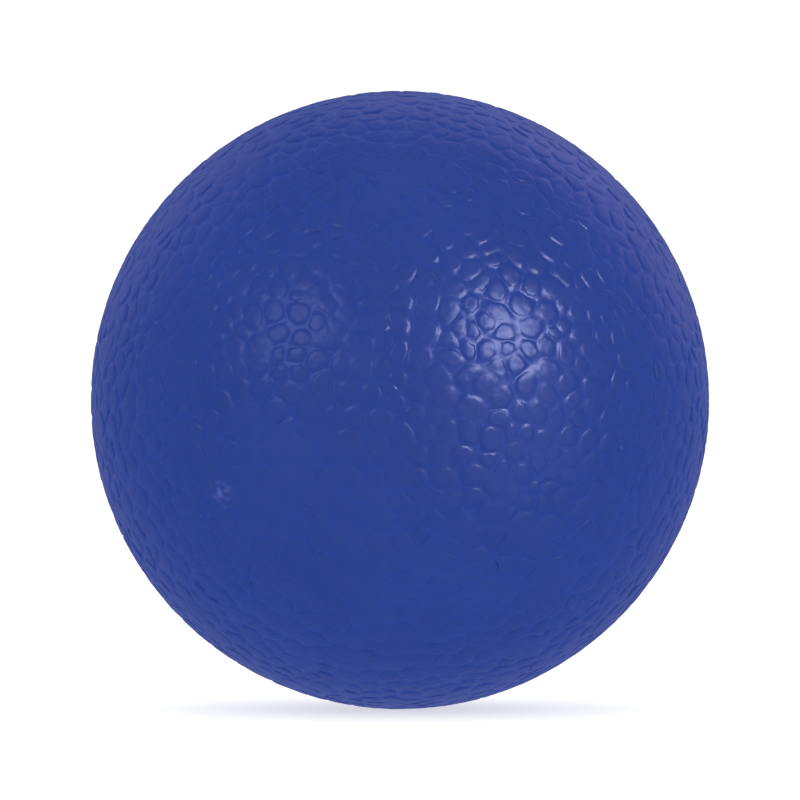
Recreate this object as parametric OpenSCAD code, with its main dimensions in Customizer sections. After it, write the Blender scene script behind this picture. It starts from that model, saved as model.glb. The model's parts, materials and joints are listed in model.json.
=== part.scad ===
// Stress ball. A grained rubber skin surrounds a thin bladder that is full of soft gel. A collar is
// bonded into the hole in the top of the skin. The bladder's neck comes up through the collar, a ribbed
// plug wedges it there, and a flush cap covers the plug.
// The origin is the centre of the ball, and the port's axis is +Z. All sizes are in millimetres.

/* [Ball] */
// Outside diameter of the ball
ball_d = 63; // [55:0.5:75]
// Thickness of the rubber skin
skin_t = 3; // [2.6:0.1:4]
// How far the port sinks when the ball is squeezed flat against a table
squeeze_travel = 20; // [10:1:22]

/* [Port] */
// Diameter of the collar and of the cap on top of it
collar_d = 10; // [9.6:0.1:12]
// Depth from the surface of the ball to the inner end of the collar
port_len = 7; // [6:0.5:9]
// Diameter of the collar's flange, which lies against the inside of the skin
flange_d = 15; // [13:0.5:18]
// Thickness of the flange at its edge
flange_t = 1.4; // [1:0.1:2]
// Diameter of the hole through the collar
bore_d = 5.4; // [5:0.1:6]

/* [Cap and plug] */
// Thickness of the cap at its rim
cap_t = 1.3; // [0.8:0.1:1.5]
// Diameter of the plug's head
head_d = 8; // [7.6:0.1:8.6]
// Thickness of the plug's head
head_t = 1.1; // [0.8:0.1:1.3]
// Depth of the ribs round the plug's shaft
rib_depth = 0.3; // [0.1:0.05:0.4]
// Number of ribs
rib_count = 3; // [1:1:4]

/* [Bladder] */
// Thickness of the bladder's wall
bladder_t = 0.6; // [0.4:0.1:0.8]

/* [Fits] */
// Clearance between one piece and the next
gap = 0.1; // [0.05:0.01:0.15]
// Clearance between the flange and the bladder's pocket around it
pocket_gap = 0.4; // [0.3:0.1:0.8]
// Clearance left under the collar and the plug's head when the ball is squeezed flat
squeezed_gap = 0.3; // [0.2:0.1:0.6]

/* [Hidden] */
$fn = 96;
ball_r = ball_d / 2;
skin_in_r = ball_r - skin_t;
collar_r = collar_d / 2;
hole_r = collar_r + gap;
flange_r = flange_d / 2;
bore_r = bore_d / 2;
head_r = head_d / 2;
// How far cuts run past the surface that they open
past = 1;

// Heights on the port's axis, from the surface of the ball inwards
cap_rim_z = sqrt(ball_r * ball_r - collar_r * collar_r);
cap_seat_z = cap_rim_z - cap_t;
head_seat_z = cap_seat_z - head_t;
collar_end_z = ball_r - port_len;
flange_top_r = skin_in_r - gap;
flange_bottom_z = sqrt(flange_top_r * flange_top_r - flange_r * flange_r) - flange_t;

// The bladder's neck fits between the collar's bore and the plug's shaft
neck_out_r = bore_r - gap;
neck_in_r = neck_out_r - bladder_t;
shaft_r = neck_in_r - gap;
core_r = shaft_r - rib_depth;
rib_pitch = (head_seat_z - collar_end_z) / (rib_count + 1);

// The soft pieces flatten towards the bottom of the ball, each point in proportion to its height, and
// the port pieces sink without changing shape. This is the height at which a soft point is made, so
// that it meets height z of the port pieces when the ball is squeezed flat.
keep = 1 - squeeze_travel / ball_d;
function meets(z) = (z - squeeze_travel / 2) / keep;
neck_top_z = meets(head_seat_z - squeezed_gap);
pocket_z = meets(collar_end_z - squeezed_gap);
pocket_in_z = pocket_z - bladder_t;
pocket_r = flange_r + pocket_gap;
pocket_in_r = pocket_r + bladder_t;
bladder_r = skin_in_r - gap;
bladder_in_r = bladder_r - bladder_t;
gel_r = bladder_in_r - gap;

// Right half of a disc about the ball's centre, to be revolved into a ball
module half_disc(r) {
    intersection() {
        circle(r = r);
        translate([0, -r]) square([r, 2 * r]);
    }
}

// Rectangle from radius r0 to r1 and from height z0 to z1, to be revolved into a disc or a tube
module band(r0, r1, z0, z1) {
    translate([r0, z0]) square([r1 - r0, z1 - z0]);
}

// Half disc with a pocket sunk in its top, which is the shape of the bladder and of the gel in it
module pocketed_disc(r, pocket_wall_r, pocket_floor_z) {
    difference() {
        half_disc(r);
        band(0, pocket_wall_r, pocket_floor_z, r + past);
    }
}

// Rubber shell with a round hole in its top
module outer_skin() {
    color("royalblue") rotate_extrude() difference() {
        half_disc(ball_r);
        half_disc(skin_in_r);
        band(0, hole_r, 0, ball_r + past);
    }
}

// Thin bag whose neck stands up in the middle of its pocket
module inner_bladder() {
    color("wheat") rotate_extrude() difference() {
        union() {
            difference() {
                pocketed_disc(bladder_r, pocket_r, pocket_z);
                pocketed_disc(bladder_in_r, pocket_in_r, pocket_in_z);
            }
            band(neck_in_r, neck_out_r, pocket_in_z, neck_top_z);
        }
        band(0, neck_in_r, pocket_in_z - past, neck_top_z + past);
    }
}

// Gel that fills the bladder
module gel_core() {
    color("lightskyblue") rotate_extrude()
        pocketed_disc(gel_r, pocket_in_r + gap, pocket_in_z - gap);
}

// Bonded insert with a flange inside the skin, a bore for the neck and a seat for the plug's head
module port_collar() {
    color("mediumblue") rotate_extrude() difference() {
        union() {
            band(0, collar_r, collar_end_z, cap_seat_z);
            intersection() {
                half_disc(flange_top_r);
                band(0, flange_r, flange_bottom_z, ball_r);
            }
        }
        band(0, bore_r, collar_end_z - past, ball_r);
        band(0, head_r + gap, head_seat_z, ball_r);
    }
}

// Outline of one rib, which widens upwards and then steps back in, so that it slides in but not out
function rib(top_z) = [
    [core_r, top_z - rib_pitch / 2],
    [shaft_r, top_z],
    [core_r, top_z]
];

// Stopper with a flat head and a ribbed shaft
module fill_plug() {
    ribs = [for (i = [1 : rib_count]) each rib(collar_end_z + i * rib_pitch)];
    shaft = concat([[0, collar_end_z], [core_r, collar_end_z]], ribs);
    head = [[core_r, head_seat_z], [head_r, head_seat_z], [head_r, cap_seat_z], [0, cap_seat_z]];
    color("steelblue") rotate_extrude() polygon(concat(shaft, head));
}

// Disc over the plug and the collar, whose domed face is part of the ball's own surface
module port_cap() {
    color("mediumblue") rotate_extrude() intersection() {
        half_disc(ball_r);
        band(0, collar_r, cap_seat_z, ball_r);
    }
}

outer_skin();
inner_bladder();
gel_core();
port_collar();
fill_plug();
port_cap();
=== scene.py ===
"""The looks of the stress ball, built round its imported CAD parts.

The skin and the cap carry one pebble grain, which is real geometry: the ball is divided into irregular
cells, and each cell rises from a smooth channel to an uneven top. The pieces inside are turned on a lathe.
Lengths are in millimetres until a mesh is made. +Z is up, out of the fill port.
"""

import json
import math

import bmesh
import bpy
import numpy as np
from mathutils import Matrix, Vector, noise


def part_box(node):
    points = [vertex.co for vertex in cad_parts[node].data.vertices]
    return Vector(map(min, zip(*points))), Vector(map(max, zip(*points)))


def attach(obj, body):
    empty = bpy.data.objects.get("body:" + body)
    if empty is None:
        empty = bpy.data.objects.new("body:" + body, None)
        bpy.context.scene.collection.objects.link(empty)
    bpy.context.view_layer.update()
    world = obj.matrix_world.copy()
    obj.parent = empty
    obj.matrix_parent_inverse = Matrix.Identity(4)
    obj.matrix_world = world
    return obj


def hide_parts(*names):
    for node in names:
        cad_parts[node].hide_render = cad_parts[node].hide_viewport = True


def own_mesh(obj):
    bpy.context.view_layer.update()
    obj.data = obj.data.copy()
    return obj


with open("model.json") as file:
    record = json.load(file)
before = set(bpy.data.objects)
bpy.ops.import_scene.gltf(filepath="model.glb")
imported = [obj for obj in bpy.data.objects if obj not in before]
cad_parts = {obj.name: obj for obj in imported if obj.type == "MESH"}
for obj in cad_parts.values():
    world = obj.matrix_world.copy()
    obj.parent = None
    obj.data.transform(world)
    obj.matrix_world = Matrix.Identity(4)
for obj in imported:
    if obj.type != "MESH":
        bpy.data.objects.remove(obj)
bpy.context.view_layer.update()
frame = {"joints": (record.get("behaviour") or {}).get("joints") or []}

METRES = 0.001


def rounded_mm(metres):
    """A length in millimetres, to the nearest hundredth. The grain's random pattern depends on the sizes,
    so they must not change with the last digits of the CAD's mesh."""
    return round(metres / METRES, 2)


# The pieces. Their outer sizes and the squeeze come from the CAD.
BALL_R = rounded_mm(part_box("outer_skin")[1].x)
CAP_R = rounded_mm(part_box("port_cap")[1].x)
CAP_SEAT_Z = rounded_mm(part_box("port_cap")[0].z)
FLANGE_R = rounded_mm(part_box("port_collar")[1].x)
COLLAR_END_Z = rounded_mm(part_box("port_collar")[0].z)
HEAD_R = rounded_mm(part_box("fill_plug")[1].x)
BLADDER_R = rounded_mm(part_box("inner_bladder")[1].x)
GEL_R = rounded_mm(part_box("gel_core")[1].x)

# Sizes that the boxes don't give, the same as in the CAD
SKIN_T = 3.0
GAP = 0.1
FLANGE_T = 1.4
HEAD_T = 1.1
BORE_R = 2.7
SHAFT_R = 1.9
RIB_DEPTH = 0.3
RIB_COUNT = 3
BLADDER_T = 0.6
NECK_IN_R = 2.0
POCKET_R = 7.9
SQUEEZED_GAP = 0.3
HOLE_R = CAP_R + GAP
SKIN_IN_R = BALL_R - SKIN_T
HEAD_SEAT_Z = CAP_SEAT_Z - HEAD_T

# The squeeze, and the share of its height that the ball keeps
SQUEEZE = frame["joints"][0]
TRAVEL = rounded_mm(SQUEEZE["range_m"][1])
KEEP = 1 - TRAVEL / (2 * BALL_R)

# Sizes that only the looks have: the rounding of the edges at the port, and the hollow that the mould's
# gate leaves in the plug's head
EDGE_ROUNDING = 0.25
GATE_R = 0.8
GATE_FLOOR_R = 0.6
GATE_DEPTH = 0.2
# The most of a short side that the rounding of one of its corners can take
MOST_OF_SIDE = 0.45

# Numbers of steps: round a turned piece, along the arcs of the bladder and the gel, along the inside of the
# skin, round the edges at the port, round the foot of the cap, and round a softened corner
TURN_STEPS = 96
BALL_STEPS = 48
SKIN_IN_STEPS = 30
EDGE_STEPS = 4
FOOT_STEPS = 3
CORNER_STEPS = 4

# The grain. Each cell is placed at random, with room round it of a radius between two limits, and is left
# out if so many tries find no room for it.
CELLS_TRIED = 3600
CELL_ROOM = (0.5, 1.3)
TRIES = 60
SEED = 15
# Depth of the grain, and how uneven the cells' tops are: within a cell, and from one cell to the next, each
# with its waves per millimetre
GRAIN_DEPTH = 0.13
UNEVEN_TOPS = 0.035
TOP_WAVES = 1.1
TOP_HOLLOW = 0.02
HOLLOW_WAVES = 2
# How much the channels vary in width, and with how many waves per millimetre
WIDTH_SPREAD = 0.4
WIDTH_WAVES = 0.3
# Depths of the channels, as shares of the grain's depth: along the port's edge, and the limits between
# which the clear and the faded ones vary. Then the share of the channels that are faded.
PORT_CHANNEL = 0.6
CLEAR_CHANNELS = (0.55, 1.25)
FADED_CHANNELS = (0.05, 0.35)
FADED_SHARE = 0.3
# The edge between two cells is made of pieces of about one length, and the shortest edges shrink to a point
SEGMENT = 0.92
SHORTEST_EDGE = 0.4
# How the cells are bent out of shape: waves per millimetre and size in millimetres. The bends die out over
# the calm distance round the port.
BENDS = [(0.25, 0.9), (0.55, 0.45)]
CALM = 3
# Number of cells along each side of the port's edge, and of pieces in each one's share of it
PORT_CELLS = 13
PORT_SEGMENTS = 4
# Each ring of a cell: its distance in from the cell's edge, its height as a share of the grain's depth, the
# least share of the way out from the middle that it keeps in a narrow cell, and how often its corners are
# rounded. The first ring ends the channel's floor, and the last two border the cell's top.
RINGS = [
    (0.20, 0.03, 0.76, 1),
    (0.35, 0.78, 0.60, 2),
    (0.62, 1.00, 0.34, 3),
]
# Each ring stays inside this share of the one before it. A spoke that leans along its edge counts as
# leaning no further than the least squareness.
RING_SHARE = 0.93
LEAST_SQUARENESS = 0.55
# The skin's layout for baking. Each chart of the outside covers this angle of the ball. The strip for the
# inside has its start, height and width as shares of the layout, and gives the wall of the hole the room of
# one radian for each so many millimetres.
CHART_ANGLE = math.radians(100)
STRIP_START = 0.7
STRIP_HEIGHT = 0.28
STRIP_WIDTH = 0.95
STRIP_WALL = 20

# The colours of the rubber, and the rubbed patch on it: the way to it from the ball's middle, and its
# radius
RUBBER = (0.003, 0.0315, 0.24)
SPECK_COLOUR = (0.25, 0.27, 0.5)
SCUFF_COLOUR = (0.27, 0.3, 0.8)
SCUFF_WAY = (-0.555, -0.778, -0.293)
SCUFF_R = 1.8

# The camera, and the share of the frame's width that the ball fills
CAMERA_DISTANCE = 600
BALL_IN_FRAME = 0.7733
SENSOR_WIDTH = 36

# The studio. The floor is grey and glows, and shows as white. The tent lights the ball, and the room shows
# in its gloss.
FLOOR_SIZE = 3000
FLOOR_GREY = 0.6
FLOOR_GLOW = 0.62
TENT = 1.15
ROOM_COLOUR = (0.33, 0.39, 1)
ROOM_IN_FRONT = 0.32
ROOM_BEHIND = 0.44
COOL = (0.68, 0.7, 1.0)
VIOLET = (0.82, 0.62, 1.0)
SOFTBOX_DISTANCE = 800
# Each softbox: its name, its direction round the ball and above it in degrees, its diameter, its watts, its
# colour, and whether it lights the ball as well as showing in its gloss
SOFTBOXES = [
    ("key", 41, 22, 270, 1.55, COOL, False),
    ("fill", -41, 24, 280, 0.28, COOL, False),
    ("wash", 45, -8, 800, 0.32, COOL, True),
    ("ceiling", 0, 80, 500, 0.07, COOL, False),
    ("back_right", 140, 28, 600, 0.12, VIOLET, False),
    ("back_left", -135, 30, 600, 0.07, VIOLET, False),
    ("back_top", 165, 45, 600, 0.09, VIOLET, False),
]

# Blender's vector noise is different in each run unless it is given a seed.
noise.seed_set(SEED)


# ---------------------------------------------------------------- meshes

def make_object(name, points, faces):
    """A smooth-shaded mesh object from points in millimetres."""
    mesh = bpy.data.meshes.new(name)
    mesh.from_pydata((np.asarray(points, float) * METRES).tolist(), [], faces)
    mesh.shade_smooth()
    made = bpy.data.objects.new(name, mesh)
    bpy.context.scene.collection.objects.link(made)
    return made


def unit(vectors):
    return vectors / np.linalg.norm(vectors, axis=-1, keepdims=True)


def store_values(mesh, name, values):
    """Keeps one number, or one vector, for each point of the mesh, for its material to read."""
    values = np.asarray(values, np.float32)
    if values.ndim == 1:
        mesh.attributes.new(name, "FLOAT", "POINT").data.foreach_set("value", values)
    else:
        mesh.attributes.new(name, "FLOAT_VECTOR", "POINT").data.foreach_set("vector", values.ravel())


# ---------------------------------------------------------------- the grain's cells

def scattered_seeds(rng):
    """One unit vector for each cell. Pairs of them face each other across the edge of the port. The rest
    fall at random where there is room for them, the largest first, so that small cells fill the gaps."""
    port_angle = math.asin((CAP_R + HOLE_R) / 2 / BALL_R)
    half_pitch = sum(CELL_ROOM) / 2 / BALL_R
    turn = np.arange(PORT_CELLS) * 2 * math.pi / PORT_CELLS
    pairs = []
    for polar in (port_angle - half_pitch, port_angle + half_pitch):
        heights = np.full(PORT_CELLS, math.cos(polar))
        ring = [np.cos(turn) * math.sin(polar), np.sin(turn) * math.sin(polar), heights]
        pairs.append(np.stack(ring, axis=1))
    seeds = np.concatenate(pairs)
    room = np.full(len(seeds), half_pitch)
    for radius in np.sort(rng.uniform(*CELL_ROOM, CELLS_TRIED) / BALL_R)[::-1]:
        ways = unit(rng.normal(size=(TRIES, 3)))
        crowded = (ways @ seeds.T > 1 - (room + radius) ** 2 / 2).any(axis=1)
        at_port = np.abs(np.arccos(ways[:, 2]) - port_angle) < 2 * half_pitch
        free = ways[~crowded & ~at_port][:1]
        seeds = np.concatenate([seeds, free])
        room = np.append(room, [radius] * len(free))
    return seeds


def neighbour_triangles(seeds):
    """The triangles that join neighbouring seeds, anticlockwise from outside, and their outward normals.
    They are the faces of the seeds' convex hull, which come in any order, and are sorted so that each run
    draws the same grain."""
    hull = bmesh.new()
    for seed in seeds:
        hull.verts.new(seed)
    hull.verts.index_update()
    bmesh.ops.convex_hull(hull, input=hull.verts[:])
    triangles = np.array(sorted(sorted(v.index for v in f.verts) for f in hull.faces))
    hull.free()
    a, b, c = seeds[triangles[:, 0]], seeds[triangles[:, 1]], seeds[triangles[:, 2]]
    normals = np.cross(b - a, c - a)
    inward = (normals * a).sum(axis=1) < 0
    triangles[inward] = triangles[inward][:, ::-1]
    normals[inward] *= -1
    return triangles, unit(normals)


def bent(points):
    """Moves points along the surface, so that the cells' edges curve and some cells grow long or narrow."""
    moved = points.copy()
    for i, point in enumerate(points):
        from_port = abs(math.acos(point[2]) * BALL_R - CAP_R) / CALM
        for waves, size in BENDS:
            drift = noise.noise_vector(Vector(point * BALL_R * waves))
            moved[i] += np.array(drift) * size * min(1, from_port) / BALL_R
    return unit(moved)


class Cells:
    """The cells of the whole ball. Neighbouring cells share the points of the edge between them.

    points: unit vectors of the edge points.
    loops: for each cell, the ids of its edge points in anticlockwise order.
    depths: for each point, the depth of the channels there, as a share of the grain's depth.
    at_port: which points lie on the edge of the port.
    inside: which cells are on the cap.
    """

    def __init__(self):
        rng = np.random.default_rng(SEED)
        seeds = scattered_seeds(rng)
        triangles, corners = neighbour_triangles(seeds)
        self.inside = np.arccos(seeds[:, 2]) < math.asin((CAP_R + HOLE_R) / 2 / BALL_R)
        self.owner = {}
        for index, triangle in enumerate(triangles):
            for side in range(3):
                self.owner[triangle[side], triangle[(side + 1) % 3]] = index
        self.found = []
        self.port_flags = []
        self.edges = {}
        self.corner_ids = self.merged_corners(corners)
        start = {int(seed): index for index, triangle in enumerate(triangles) for seed in triangle}
        self.loops = [self.loop(seed, start[seed], triangles) for seed in range(len(seeds))]
        self.at_port = np.array(self.port_flags)
        self.points = bent(unit(np.array(self.found)))
        self.depths = self.channel_depths(rng)

    def merged_corners(self, corners):
        """Gives each triangle's corner an id, and a shared id to corners closer than the shortest edge."""
        root = list(range(len(corners)))

        def find(i):
            while root[i] != i:
                i = root[i]
            return i

        for (a, b), index in self.owner.items():
            other = self.owner[b, a]
            if np.linalg.norm(corners[index] - corners[other]) * BALL_R < SHORTEST_EDGE:
                root[find(index)] = find(other)
        groups = {}
        for index in range(len(corners)):
            groups.setdefault(find(index), []).append(index)
        ids = np.zeros(len(corners), int)
        for members in groups.values():
            ids[members] = self.add_point(corners[members].mean(axis=0))
        return ids

    def channel_depths(self, rng):
        """Depth of the channels at each point. Where channels meet, it is their average."""
        total = np.zeros(len(self.found))
        lines = np.zeros(len(self.found))
        for line in self.edges.values():
            limits = FADED_CHANNELS if rng.random() < FADED_SHARE else CLEAR_CHANNELS
            total[line] += rng.uniform(*limits)
            lines[line] += 1
        return total / lines

    def add_point(self, position):
        self.found.append(position)
        self.port_flags.append(False)
        return len(self.found) - 1

    def edge(self, first, second, crosses_port):
        """Ids of the points from one corner to the next, which the cells on both sides share."""
        key = (min(first, second), max(first, second))
        if key not in self.edges:
            a, b = self.corner_ids[key[0]], self.corner_ids[key[1]]
            span = self.found[b] - self.found[a]
            pieces = max(1, round(np.linalg.norm(span) * BALL_R / SEGMENT))
            if crosses_port:
                pieces = PORT_SEGMENTS
            steps = [self.found[a] + span * i / pieces for i in range(1, pieces)]
            self.edges[key] = [a] + [self.add_point(step) for step in steps] + [b] if a != b else [a]
            if crosses_port:
                for point in self.edges[key]:
                    self.port_flags[point] = True
        line = self.edges[key]
        return line if first == key[0] else line[::-1]

    def loop(self, seed, first, triangles):
        """Ids of the edge points round one cell."""
        ids = []
        current = first
        while True:
            sides = list(triangles[current])
            neighbour = sides[sides.index(seed) - 1]
            following = self.owner[seed, neighbour]
            ids += self.edge(current, following, self.inside[seed] != self.inside[neighbour])[:-1]
            current = following
            if current == first:
                return ids


def smoothed(values, times):
    """Evens out values that go round a ring."""
    for _ in range(times):
        values = values / 2 + np.roll(values, 1) / 4 + np.roll(values, -1) / 4
    return values


def grain_surface(cells, wanted, port_r):
    """The grained surface of the wanted cells, as points, faces, each point's height in the grain, and the
    edge of the port, which is drawn in or out to radius port_r."""
    edge = cells.points.copy()
    depth = cells.depths * GRAIN_DEPTH
    width = np.array([1 + WIDTH_SPREAD * noise.noise(Vector(p * BALL_R * WIDTH_WAVES)) for p in edge])
    turn = np.arctan2(edge[cells.at_port, 1], edge[cells.at_port, 0])
    port_z = math.sqrt(BALL_R ** 2 - port_r ** 2)
    ring = [np.cos(turn) * port_r, np.sin(turn) * port_r, np.full(len(turn), port_z)]
    edge[cells.at_port] = unit(np.stack(ring, axis=1))
    depth[cells.at_port] = GRAIN_DEPTH * PORT_CHANNEL

    used = sorted({i for cell in wanted for i in cells.loops[cell]})
    place = {old: new for new, old in enumerate(used)}
    points = [edge[i] * (BALL_R - depth[i]) for i in used]
    heights = [1 - cells.depths[i] for i in used]
    faces = []
    for cell in wanted:
        ids = np.array(cells.loops[cell])
        middle = unit(edge[ids].mean(axis=0))
        spokes = edge[ids] - middle
        reach = np.linalg.norm(spokes, axis=1)
        along = np.roll(edge[ids], -1, axis=0) - np.roll(edge[ids], 1, axis=0)
        squareness = np.linalg.norm(np.cross(unit(spokes), unit(along)), axis=1)
        drop = TOP_HOLLOW * (0.5 + 0.5 * noise.noise(Vector(middle * BALL_R * HOLLOW_WAVES)))
        outer = [place[i] for i in ids]
        count = len(outer)
        share = np.ones(count)
        for inset, height, least, rounding in RINGS:
            along_spoke = inset * width[ids] / BALL_R / np.maximum(squareness, LEAST_SQUARENESS)
            wanted_share = np.maximum(1 - along_spoke / reach, least)
            rounded_share = smoothed(wanted_share * reach, rounding) / reach
            share = np.minimum(rounded_share, share * RING_SHARE)
            radius = BALL_R - (1 - height) * depth[ids] - height * drop
            ways = unit(middle + spokes * share[:, None])
            uneven = UNEVEN_TOPS * height
            radius += [uneven * noise.noise(Vector(way * BALL_R * TOP_WAVES)) for way in ways]
            first = len(points)
            points += list(ways * radius[:, None])
            heights += list(1 - (1 - height) * cells.depths[ids])
            inner = list(range(first, first + count))
            faces += [(outer[i - 1], outer[i], inner[i], inner[i - 1]) for i in range(count)]
            outer = inner
        points.append(middle * (BALL_R - drop))
        heights.append(1.0)
        faces += [(outer[i - 1], outer[i], len(points) - 1) for i in range(count)]
    port = [i for i in used if cells.at_port[i]]
    port.sort(key=lambda i: math.atan2(edge[i][1], edge[i][0]))
    return points, faces, heights, [place[i] for i in port]


def close_surface(points, faces, rim, profile, outward):
    """Carries the surface on from its rim through rings of the given (radius, height), and ends at a point
    on the axis. outward is True if the rim surrounds the surface, False if it surrounds a hole in it."""
    turn = [math.atan2(points[i][1], points[i][0]) for i in rim]
    upper = rim
    count = len(rim)
    for radius, height in profile[:-1]:
        lower = list(range(len(points), len(points) + count))
        points += [np.array([math.cos(t) * radius, math.sin(t) * radius, height]) for t in turn]
        for i in range(count):
            face = (upper[i - 1], upper[i], lower[i], lower[i - 1])
            faces.append(face[::-1] if outward else face)
        upper = lower
    points.append(np.array([0, 0, profile[-1][1]]))
    for i in range(count):
        face = (upper[i - 1], upper[i], len(points) - 1)
        faces.append(face[::-1] if outward else face)


def arc(centre_r, centre_z, radius, start, end, steps):
    """Points of an arc in the (radius, height) plane. Angles are in degrees from the outward direction."""
    angles = [math.radians(start + (end - start) * i / steps) for i in range(steps + 1)]
    return [(centre_r + radius * math.cos(a), centre_z + radius * math.sin(a)) for a in angles]


def rest_values(made, heights):
    """Keeps each point's place at rest and its height in the grain, so that the finish stays put as the
    ball is squeezed."""
    count = len(made.data.vertices)
    places = np.zeros(count * 3, np.float32)
    made.data.vertices.foreach_get("co", places)
    store_values(made.data, "rest_mm", places.reshape(-1, 3) / METRES)
    store_values(made.data, "grain", list(heights) + [0.0] * (count - len(heights)))


def bake_map(made, outer_faces):
    """Lays the skin out for baking: six square charts for the outside, and one strip for the inside. Each
    point of a face has its own place in the layout, so that no face is stretched across a chart's edge."""
    mesh = made.data
    points = np.zeros(len(mesh.vertices) * 3)
    mesh.vertices.foreach_get("co", points)
    points = points.reshape(-1, 3) / METRES
    corner_points = np.zeros(len(mesh.loops), int)
    mesh.loops.foreach_get("vertex_index", corner_points)
    corner_counts = np.zeros(len(mesh.polygons), int)
    mesh.polygons.foreach_get("loop_total", corner_counts)
    face = np.repeat(np.arange(len(corner_counts)), corner_counts)
    corners = points[corner_points]
    middles = np.zeros((len(corner_counts), 3))
    np.add.at(middles, face, unit(corners))
    middles = unit(middles)[face]

    rows = np.arange(len(face))
    side = np.abs(middles).argmax(axis=1)
    sign = np.sign(middles[rows, side])
    ahead = corners[rows, side] * sign
    across = np.arctan2(corners[rows, (side + 1) % 3], ahead) / CHART_ANGLE
    up = np.arctan2(corners[rows, (side + 2) % 3], ahead) / CHART_ANGLE
    u = (side + 0.5 + across) / 3
    v = (1 + sign / 2 + up) / 3

    inside = face >= outer_faces
    azimuth = np.arctan2(middles[:, 1], middles[:, 0])
    on_axis = np.hypot(corners[:, 0], corners[:, 1]) < 1e-3
    turn = np.arctan2(corners[:, 1], corners[:, 0]) - azimuth
    turn = np.where(on_axis, 0, (turn + math.pi) % (2 * math.pi) - math.pi)
    radius = np.linalg.norm(corners, axis=1)
    polar = np.arccos(corners[:, 2] / radius) - (radius - SKIN_IN_R) / STRIP_WALL
    u[inside] = 0.5 + STRIP_WIDTH * (azimuth + turn)[inside] / (2 * math.pi)
    v[inside] = STRIP_START + STRIP_HEIGHT * polar[inside] / math.pi
    layer = mesh.uv_layers.new(name="OFBake")
    layer.data.foreach_set("uv", np.stack([u, v], axis=1).astype(np.float32).ravel())


def make_skin(cells):
    """The grained shell, with a rounded edge at the hole, a straight hole and a plain inside."""
    wanted = np.flatnonzero(~cells.inside)
    rim_r = HOLE_R + EDGE_ROUNDING
    points, faces, heights, rim = grain_surface(cells, wanted, rim_r)
    outer_faces = len(faces)
    rim_z = points[rim[0]][2]
    hole_angle = math.degrees(math.acos(HOLE_R / SKIN_IN_R))
    profile = arc(rim_r, rim_z - EDGE_ROUNDING, EDGE_ROUNDING, 90, 180, EDGE_STEPS)[1:]
    profile += arc(0, 0, SKIN_IN_R, hole_angle, -90, SKIN_IN_STEPS)
    profile[-1] = (0, -SKIN_IN_R)
    close_surface(points, faces, rim, profile, outward=False)
    made = make_object("grained_skin", points, faces)
    rest_values(made, heights)
    bake_map(made, outer_faces)
    return made


def make_cap(cells):
    """The grained disc over the port, flush with the skin."""
    wanted = np.flatnonzero(cells.inside)
    rim_r = CAP_R - EDGE_ROUNDING
    points, faces, heights, rim = grain_surface(cells, wanted, rim_r)
    rim_z = points[rim[0]][2]
    profile = arc(rim_r, rim_z - EDGE_ROUNDING, EDGE_ROUNDING, 90, 0, EDGE_STEPS)[1:]
    foot = EDGE_ROUNDING / 2
    profile += arc(CAP_R - foot, CAP_SEAT_Z + foot, foot, 0, -90, FOOT_STEPS)
    profile += [(CAP_R / 2, CAP_SEAT_Z), (0, CAP_SEAT_Z)]
    close_surface(points, faces, rim, profile, outward=True)
    made = make_object("grained_cap", points, faces)
    rest_values(made, heights)
    return made


# ---------------------------------------------------------------- the turned pieces

def softened(profile, cut):
    """Rounds each corner of a (radius, height) profile. The curve starts and ends the given distance from
    the corner, or nearer where a side is short."""
    curve = [profile[0]]
    for before, corner, after in zip(profile, profile[1:], profile[2:]):
        before, corner, after = Vector(before), Vector(corner), Vector(after)
        start = corner + (before - corner).normalized() * min(cut, (before - corner).length * MOST_OF_SIDE)
        end = corner + (after - corner).normalized() * min(cut, (after - corner).length * MOST_OF_SIDE)
        for step in range(CORNER_STEPS + 1):
            t = step / CORNER_STEPS
            curve.append(tuple(start * (1 - t) ** 2 + corner * 2 * t * (1 - t) + end * t ** 2))
    return curve + [profile[-1]]


def turned(name, profile, unevenness, waves):
    """A piece turned from its (radius, height) profile, which runs anticlockwise round the material. A
    profile that leaves the axis returns to it. The surface is uneven by the given size, with so many waves
    per millimetre."""
    points = []
    rings = []
    for radius, height in profile:
        count = 1 if radius < 1e-6 else TURN_STEPS
        rings.append([len(points) + i % count for i in range(TURN_STEPS)])
        for i in range(count):
            turn = 2 * math.pi * i / TURN_STEPS
            point = Vector((math.cos(turn) * radius, math.sin(turn) * radius, height))
            drift = noise.noise_vector(point * waves) * unevenness
            points.append(point + (drift if count > 1 else Vector((0, 0, 0))))
    if profile[0][0] > 1e-6:
        rings.append(rings[0])
    faces = []
    for lower, upper in zip(rings, rings[1:]):
        for i in range(TURN_STEPS):
            corners = [lower[i - 1], lower[i], upper[i], upper[i - 1]]
            faces.append(tuple(dict.fromkeys(corners)))
    made = make_object(name, points, faces)
    rest_values(made, [])
    return made


def sphere_z(ball_r, radius):
    """Height of a sphere's upper half at the given radius from the axis."""
    return math.sqrt(ball_r ** 2 - radius ** 2)


def sphere_angle(ball_r, radius):
    """Angle above the middle, in degrees, at which a sphere has the given radius from the axis."""
    return math.degrees(math.acos(radius / ball_r))


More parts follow.
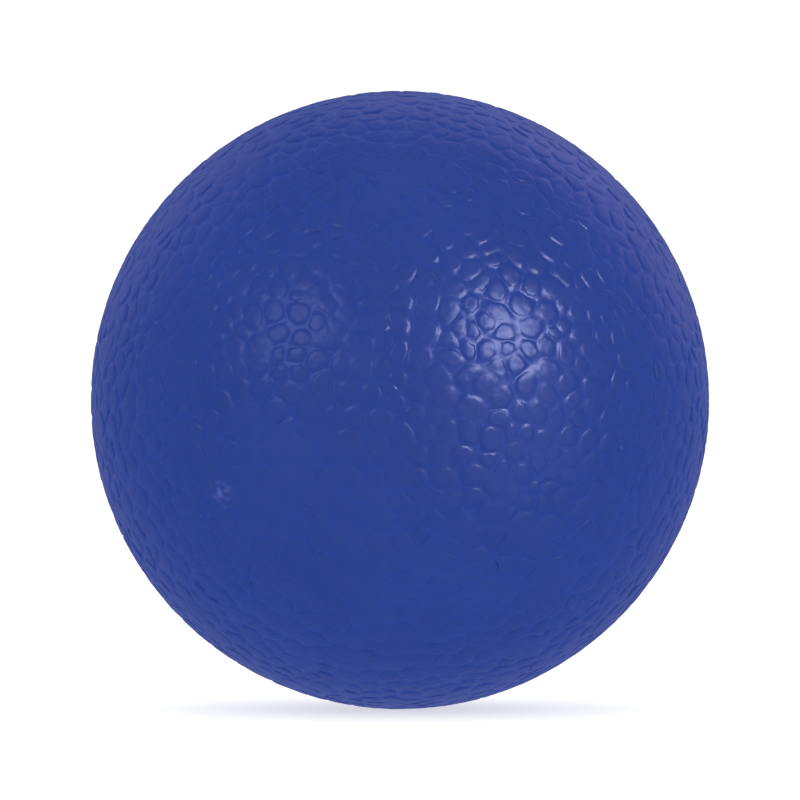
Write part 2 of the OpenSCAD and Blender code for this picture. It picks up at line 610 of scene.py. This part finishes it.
def make_collar():
    """The bonded insert: a tube with a flange inside the skin and a seat for the plug's head."""
    flange_top_z = sphere_z(BLADDER_R, FLANGE_R)
    profile = [
        (BORE_R, (COLLAR_END_Z + HEAD_SEAT_Z) / 2),
        (BORE_R, COLLAR_END_Z),
        (CAP_R, COLLAR_END_Z),
        (CAP_R, flange_top_z - FLANGE_T),
        (FLANGE_R, flange_top_z - FLANGE_T),
        (FLANGE_R, flange_top_z),
        (CAP_R, sphere_z(BLADDER_R, CAP_R)),
        (CAP_R, CAP_SEAT_Z),
        (HEAD_R + GAP, CAP_SEAT_Z),
        (HEAD_R + GAP, HEAD_SEAT_Z),
        (BORE_R, HEAD_SEAT_Z),
        (BORE_R, (COLLAR_END_Z + HEAD_SEAT_Z) / 2 + GAP),
    ]
    return turned("bonded_collar", softened(profile, 0.2), unevenness=0.01, waves=1.2)


def make_plug():
    """The stopper, with a ribbed shaft, and a small hollow in its head where the moulding was gated."""
    core_r = SHAFT_R - RIB_DEPTH
    pitch = (HEAD_SEAT_Z - COLLAR_END_Z) / (RIB_COUNT + 1)
    profile = [(0, COLLAR_END_Z), (core_r, COLLAR_END_Z)]
    for i in range(1, RIB_COUNT + 1):
        top = COLLAR_END_Z + i * pitch
        profile += [(core_r, top - pitch / 2), (SHAFT_R, top), (core_r, top)]
    profile += [(core_r, HEAD_SEAT_Z), (HEAD_R, HEAD_SEAT_Z), (HEAD_R, CAP_SEAT_Z)]
    gate_floor_z = CAP_SEAT_Z - GATE_DEPTH
    profile += [(GATE_R, CAP_SEAT_Z), (GATE_FLOOR_R, gate_floor_z), (0, gate_floor_z)]
    return turned("ribbed_plug", softened(profile, 0.12), unevenness=0.006, waves=1.5)


def soft_z(port_z):
    """Height at which a soft point is made, so that it meets the given height of the port pieces when the
    ball is squeezed flat. The port pieces sink without changing shape."""
    return (port_z - TRAVEL / 2) / KEEP


def make_bladder():
    """The thin bag, with its neck standing up in the middle of the pocket under the port."""
    inner_r = BLADDER_R - BLADDER_T
    pocket_out_r = POCKET_R + BLADDER_T
    neck_out_r = NECK_IN_R + BLADDER_T
    neck_z = soft_z(HEAD_SEAT_Z - SQUEEZED_GAP)
    floor_z = soft_z(COLLAR_END_Z - SQUEEZED_GAP)
    outside = arc(0, 0, BLADDER_R, -90, sphere_angle(BLADDER_R, POCKET_R), BALL_STEPS)
    pocket = [
        outside[-1],
        (POCKET_R, floor_z),
        (neck_out_r, floor_z),
        (neck_out_r, neck_z),
        (NECK_IN_R, neck_z),
        (NECK_IN_R, floor_z - BLADDER_T),
        (pocket_out_r, floor_z - BLADDER_T),
        (pocket_out_r, sphere_z(inner_r, pocket_out_r)),
    ]
    inside = arc(0, 0, inner_r, sphere_angle(inner_r, pocket_out_r), -90, BALL_STEPS)
    profile = [(0, -BLADDER_R)] + outside[1:-1] + softened(pocket, 0.25) + inside[1:-1] + [(0, -inner_r)]
    return turned("latex_bladder", profile, unevenness=0.03, waves=0.25)


def make_gel():
    """The filling, which takes the shape of the inside of the bladder."""
    pocket_r = POCKET_R + BLADDER_T + GAP
    floor_z = soft_z(COLLAR_END_Z - SQUEEZED_GAP) - BLADDER_T - GAP
    outside = arc(0, 0, GEL_R, -90, sphere_angle(GEL_R, pocket_r), BALL_STEPS)
    pocket = [outside[-1], (pocket_r, floor_z), (0, floor_z)]
    profile = [(0, -GEL_R)] + outside[1:-1] + softened(pocket, 0.5)
    return turned("gel_filling", profile, unevenness=0.03, waves=0.2)


# ---------------------------------------------------------------- materials

def add_node(tree, kind, inputs, **settings):
    """A node with its settings and inputs. Each input is a constant or the output of another node."""
    made = tree.nodes.new(kind)
    for name, value in settings.items():
        setattr(made, name, value)
    for socket, value in inputs.items():
        if isinstance(value, bpy.types.NodeSocket):
            tree.links.new(value, made.inputs[socket])
        else:
            made.inputs[socket].default_value = value
    return made


def mix_colours(tree, factor, first, second):
    """The output of a node that turns from the first colour to the second. Each colour is a constant or an
    output."""
    made = tree.nodes.new("ShaderNodeMix")
    made.data_type = "RGBA"
    sockets = {socket.identifier: socket for socket in made.inputs}
    tree.links.new(factor, sockets["Factor_Float"])
    for socket, colour in ((sockets["A_Color"], first), (sockets["B_Color"], second)):
        if isinstance(colour, bpy.types.NodeSocket):
            tree.links.new(colour, socket)
        else:
            socket.default_value = (*colour, 1)
    return next(socket for socket in made.outputs if socket.identifier == "Result_Color")


def shade(colour, times):
    """A darker or lighter shade of a colour."""
    return tuple(min(1, part * times) for part in colour)


class Finish:
    """A node material with a Principled shader, whose textures are tied to the piece's shape at rest."""

    def __init__(self, name):
        self.material = bpy.data.materials.new(name)
        self.material.use_nodes = True
        self.tree = self.material.node_tree
        self.shader = self.tree.nodes["Principled BSDF"]
        self.place = self.attribute("rest_mm", "Vector")

    def attribute(self, name, output):
        return add_node(self.tree, "ShaderNodeAttribute", {}, attribute_name=name).outputs[output]

    def noise(self, waves, detail=2.0):
        """Noise with so many waves per millimetre, about 0.5."""
        inputs = {"Vector": self.place, "Scale": waves, "Detail": detail}
        return add_node(self.tree, "ShaderNodeTexNoise", inputs).outputs["Fac"]

    def remap(self, value, low, high, new_low, new_high):
        """The value's range from low to high, stretched to a new range and held at its ends."""
        inputs = {"Value": value, "From Min": low, "From Max": high, "To Min": new_low, "To Max": new_high}
        return add_node(self.tree, "ShaderNodeMapRange", inputs).outputs["Result"]

    def combine(self, operation, first, second):
        """The output of a maths node of two values, such as ADD or MULTIPLY."""
        inputs = {0: first, 1: second}
        return add_node(self.tree, "ShaderNodeMath", inputs, operation=operation).outputs[0]

    def feed(self, socket, value):
        self.tree.links.new(value, self.shader.inputs[socket])

    def hold(self, socket, value):
        self.shader.inputs[socket].default_value = value

    def bump(self, height, strength, depth_mm):
        inputs = {"Height": height, "Strength": strength, "Distance": depth_mm * METRES}
        self.feed("Normal", add_node(self.tree, "ShaderNodeBump", inputs).outputs["Normal"])


def rubber_finish(name, scuffed):
    """Royal-blue rubber, a little smoother in the channels of the grain than on its tops, with painted
    light that lightens the channels to offset the shade that falls in them. It varies slightly in colour,
    and carries a few specks and, if scuffed, one rubbed patch."""
    finish = Finish(name)
    grain = finish.attribute("grain", "Fac")
    cloud = finish.remap(finish.noise(0.09), 0.35, 0.65, 0, 1)
    body = mix_colours(finish.tree, cloud, shade(RUBBER, 0.96), shade(RUBBER, 1.04))
    # Painted light: the channels are turned towards a lighter blue to offset the shade that falls in them
    painted_channel_light = finish.remap(grain, 0.0, 0.9, 0.25, 0)
    body = mix_colours(finish.tree, painted_channel_light, body, shade(RUBBER, 1.4))
    specks = finish.remap(finish.noise(1.4, 1.0), 0.78, 0.88, 0, 0.2)
    body = mix_colours(finish.tree, specks, body, SPECK_COLOUR)
    if scuffed:
        middle = tuple(part * BALL_R for part in SCUFF_WAY)
        inputs = {0: finish.place, 1: middle}
        apart = add_node(finish.tree, "ShaderNodeVectorMath", inputs, operation="DISTANCE").outputs["Value"]
        near = finish.remap(apart, 0.2, SCUFF_R, 1, 0)
        rubbed = finish.remap(finish.noise(1.7, 1.0), 0.45, 0.7, 0.0, 0.2)
        body = mix_colours(finish.tree, finish.combine("MULTIPLY", near, rubbed), body, SCUFF_COLOUR)
    finish.feed("Base Color", body)
    by_grain = finish.remap(grain, 0.1, 0.9, 0.26, 0.3)
    by_wear = finish.remap(finish.noise(0.4), 0.3, 0.7, -0.02, 0.03)
    finish.feed("Roughness", finish.combine("ADD", by_grain, by_wear))
    finish.bump(finish.noise(1.3, 0.0), 1.0, 0.08)
    finish.hold("Coat Weight", 0.7)
    finish.hold("Coat Roughness", 0.3)
    return finish.material


def collar_finish():
    """Firm blue rubber, matt, with a dusting of talc from the mould."""
    finish = Finish("collar_rubber")
    talc = finish.remap(finish.noise(0.8, 4.0), 0.55, 0.75, 0, 0.25)
    finish.feed("Base Color", mix_colours(finish.tree, talc, (0.02, 0.042, 0.22), (0.35, 0.37, 0.5)))
    finish.feed("Roughness", finish.remap(talc, 0, 0.25, 0.5, 0.7))
    finish.bump(finish.noise(5.0, 3.0), 0.4, 0.02)
    return finish.material


def plug_finish():
    """Natural nylon, satin, with faint flow marks."""
    finish = Finish("natural_nylon")
    flow = finish.noise(0.5, 3.0)
    clear = finish.remap(flow, 0.35, 0.65, 0, 1)
    finish.feed("Base Color", mix_colours(finish.tree, clear, (0.8, 0.79, 0.74), (0.72, 0.7, 0.62)))
    finish.feed("Roughness", finish.remap(flow, 0.3, 0.7, 0.35, 0.5))
    finish.hold("Subsurface Weight", 0.15)
    finish.hold("Subsurface Scale", 0.5 * METRES)
    finish.bump(finish.noise(4.0), 0.2, 0.02)
    return finish.material


def bladder_finish():
    """Thin natural latex: amber, unevenly thick, with fine wrinkles."""
    finish = Finish("natural_latex")
    thick = finish.remap(finish.noise(0.12, 3.0), 0.35, 0.65, 0, 1)
    finish.feed("Base Color", mix_colours(finish.tree, thick, (0.78, 0.62, 0.38), (0.62, 0.44, 0.22)))
    finish.feed("Roughness", finish.remap(finish.noise(0.6), 0.3, 0.7, 0.38, 0.55))
    finish.hold("Subsurface Weight", 0.2)
    finish.hold("Subsurface Scale", 1.0 * METRES)
    finish.bump(finish.noise(1.2, 3.0), 0.4, 0.05)
    return finish.material


def gel_finish():
    """Soft gel: light blue, wet-looking and cloudy inside."""
    finish = Finish("soft_gel")
    cloud = finish.remap(finish.noise(0.15, 3.0), 0.35, 0.65, 0, 1)
    finish.feed("Base Color", mix_colours(finish.tree, cloud, (0.32, 0.6, 0.85), (0.22, 0.48, 0.78)))
    finish.feed("Roughness", finish.remap(finish.noise(0.5), 0.3, 0.7, 0.08, 0.2))
    finish.hold("Subsurface Weight", 0.6)
    finish.hold("Subsurface Scale", 4.0 * METRES)
    finish.bump(finish.noise(0.4), 0.3, 0.05)
    return finish.material


# ---------------------------------------------------------------- the studio

def make_world():
    """An even white tent. The gloss of the ball sees only a dim room, a little brighter behind the ball."""
    world = bpy.data.worlds.new("tent")
    world.use_nodes = True
    tree = world.node_tree
    tree.nodes.clear()
    rays = add_node(tree, "ShaderNodeLightPath", {})
    way = add_node(tree, "ShaderNodeTexCoord", {}).outputs["Generated"]
    depth = add_node(tree, "ShaderNodeSeparateXYZ", {"Vector": way}).outputs["Y"]
    to_the_back = {"Value": depth, "From Min": 0.0, "To Min": ROOM_IN_FRONT, "To Max": ROOM_BEHIND}
    glow = add_node(tree, "ShaderNodeMapRange", to_the_back).outputs["Result"]
    tent = add_node(tree, "ShaderNodeBackground", {"Color": (1, 1, 1, 1), "Strength": TENT})
    room = add_node(tree, "ShaderNodeBackground", {"Color": (*ROOM_COLOUR, 1), "Strength": glow})
    seen = add_node(tree, "ShaderNodeMixShader", {"Fac": rays.outputs["Is Glossy Ray"]})
    tree.links.new(tent.outputs[0], seen.inputs[1])
    tree.links.new(room.outputs[0], seen.inputs[2])
    add_node(tree, "ShaderNodeOutputWorld", {"Surface": seen.outputs[0]})
    bpy.context.scene.world = world


def make_softbox(name, azimuth, elevation, diameter, watts, colour, diffuse):
    """A round soft light that points at the ball. diffuse is False if it only shows in the gloss."""
    light = bpy.data.lights.new(name, "AREA")
    light.shape = "DISK"
    light.size = diameter * METRES
    light.energy = watts
    light.color = colour
    made = bpy.data.objects.new(name, light)
    bpy.context.scene.collection.objects.link(made)
    across, up = math.radians(azimuth), math.radians(elevation)
    way = Vector((math.sin(across) * math.cos(up), -math.cos(across) * math.cos(up), math.sin(up)))
    made.location = way * SOFTBOX_DISTANCE * METRES
    made.rotation_euler = way.to_track_quat("Z", "Y").to_euler()
    made.visible_camera = False
    made.visible_diffuse = diffuse


def make_floor():
    """A wide white floor, which glows so that the ball's shadow on it stays faint. It throws neither shade
    nor light on the ball."""
    half = FLOOR_SIZE / 2
    corners = [(x, y, -BALL_R) for x, y in ((-half, -half), (half, -half), (half, half), (-half, half))]
    floor = make_object("floor", corners, [(0, 1, 2, 3)])
    finish = Finish("floor")
    finish.hold("Base Color", (FLOOR_GREY, FLOOR_GREY, FLOOR_GREY, 1))
    finish.hold("Roughness", 0.9)
    finish.hold("Specular IOR Level", 0.0)
    finish.hold("Emission Color", (1, 1, 1, 1))
    finish.hold("Emission Strength", FLOOR_GLOW)
    floor.data.materials.append(finish.material)
    floor.visible_glossy = False
    floor.visible_diffuse = False
    floor.visible_shadow = False


def make_camera():
    """A level camera in front of the ball, which fills the given share of the frame's width."""
    camera = bpy.data.cameras.new("camera")
    half_angle = math.asin(BALL_R / CAMERA_DISTANCE)
    camera.sensor_width = SENSOR_WIDTH
    camera.lens = SENSOR_WIDTH / 2 * BALL_IN_FRAME / math.tan(half_angle)
    camera.clip_start = 0.01
    camera.clip_end = 10
    made = bpy.data.objects.new("camera", camera)
    made.location = (0, -CAMERA_DISTANCE * METRES, 0)
    made.rotation_euler = (math.radians(90), 0, 0)
    bpy.context.scene.collection.objects.link(made)
    bpy.context.scene.camera = made


# ---------------------------------------------------------------- the scene

def place_piece(made, material, node, body):
    """Gives a piece its finish and its place in the CAD frame."""
    made.data.materials.append(material)
    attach(made, body)
    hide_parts(node)


def make_soft(made):
    """Gives a soft piece a mesh of its own."""
    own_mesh(made)


def build_ball():
    cells = Cells()
    skin = make_skin(cells)
    bladder = make_bladder()
    gel = make_gel()
    place_piece(skin, rubber_finish("grained_rubber", scuffed=True), "outer_skin", "ball")
    place_piece(bladder, bladder_finish(), "inner_bladder", "ball")
    place_piece(gel, gel_finish(), "gel_core", "ball")
    place_piece(make_collar(), collar_finish(), "port_collar", "port_end")
    place_piece(make_plug(), plug_finish(), "fill_plug", "port_end")
    cap_rubber = rubber_finish("cap_rubber", scuffed=False)
    place_piece(make_cap(cells), cap_rubber, "port_cap", "port_end")
    for soft in (skin, bladder, gel):
        make_soft(soft)


build_ball()
make_floor()
make_world()
for softbox in SOFTBOXES:
    make_softbox(*softbox)
make_camera()
bpy.context.scene.view_settings.view_transform = "Standard"
